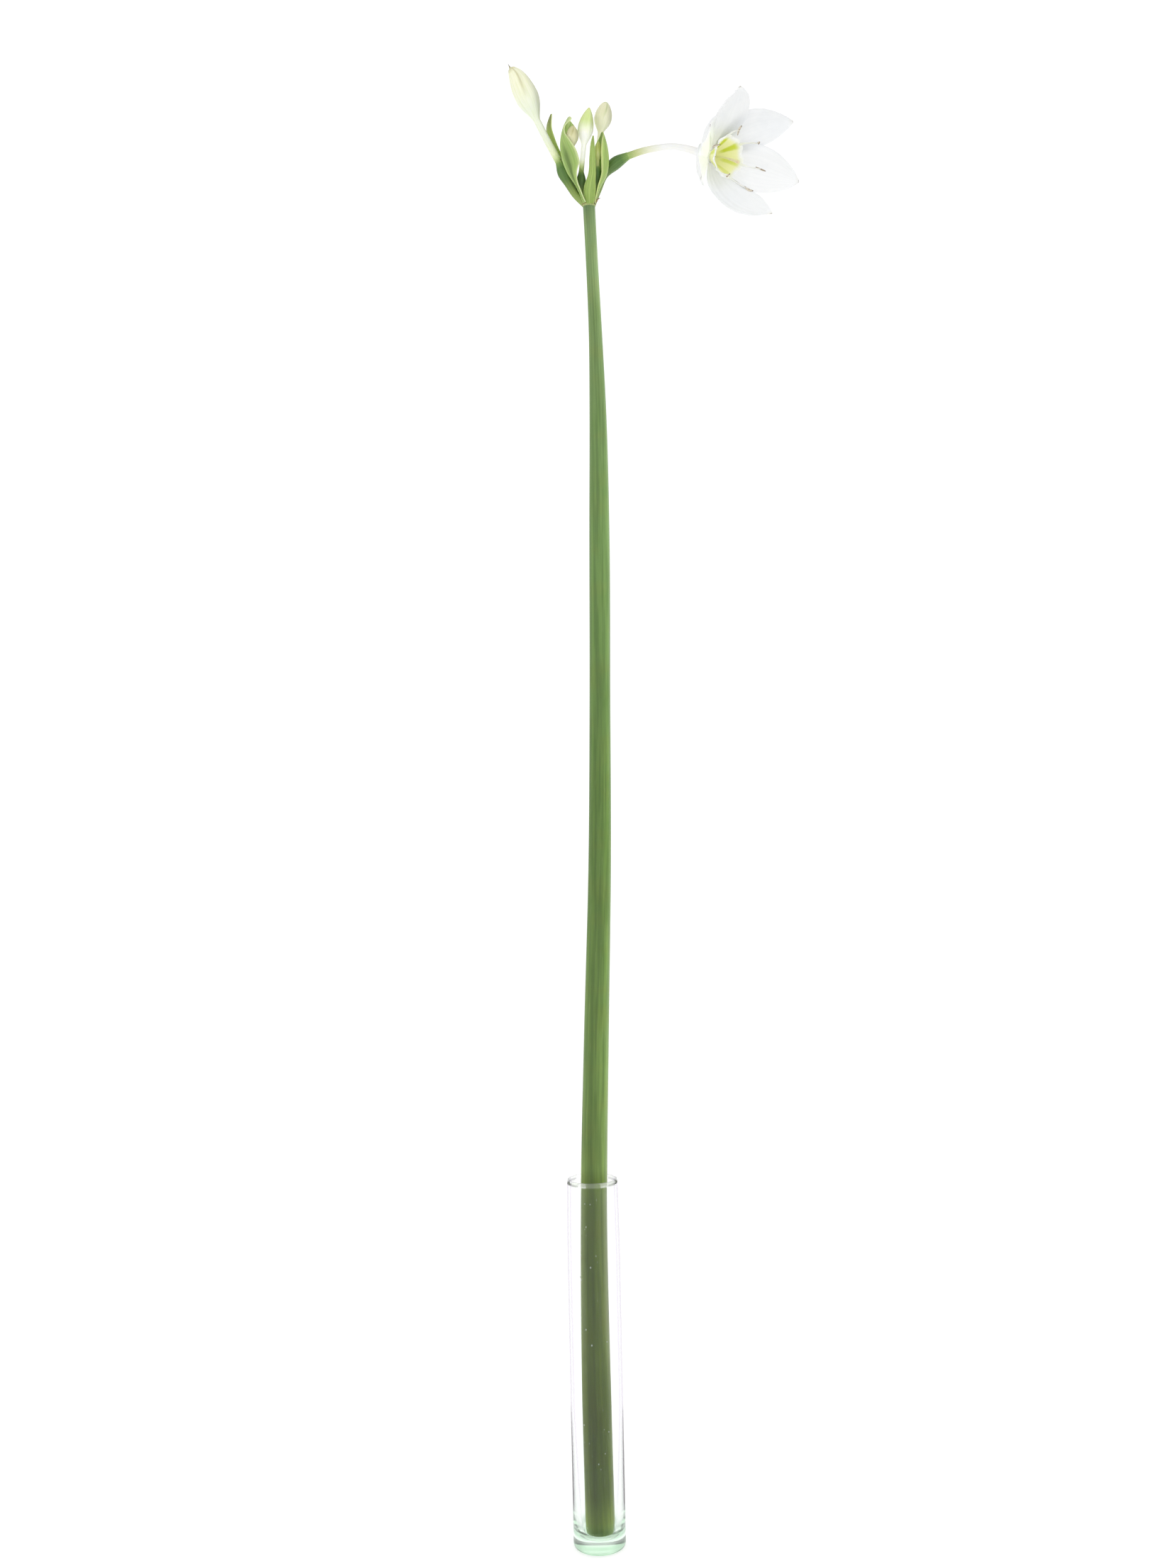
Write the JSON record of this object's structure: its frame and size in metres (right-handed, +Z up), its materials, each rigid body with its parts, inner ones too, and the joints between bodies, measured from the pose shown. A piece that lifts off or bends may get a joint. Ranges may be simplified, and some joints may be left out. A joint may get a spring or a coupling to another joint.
{
  "type": "amazon lily flower in a glass vase",
  "caption": "Cut amazon lily stem with an open white flower, closed buds and green bracts, standing upright in a slim clear glass tube vase.",
  "frame": {"origin": "middle of the vase's flat foot", "axes": "+Z up along the vase and the stem; the open flower hangs out to +X and faces +X and -Y; -Y is the pictured side"},
  "size_m": [0.1564, 0.0661, 0.8034],
  "materials": {
    "clear_glass": "polished",
    "scape_green": "satin",
    "bract_green": "satin",
    "bud_cream": "satin",
    "bud_green": "satin",
    "tepal_white": "satin",
    "cup_white_green": "satin"
  },
  "bodies": {
    "root": {"vase": "clear_glass", "scape": "scape_green", "umbel": "bract_green", "bud_1": "bud_cream", "bud_2": "bud_cream", "bud_3": "bud_green", "bud_4": "bud_cream", "bud_5": "bud_green", "flower": "tepal_white", "staminal_cup": "cup_white_green"}
  },
  "joints": []
}
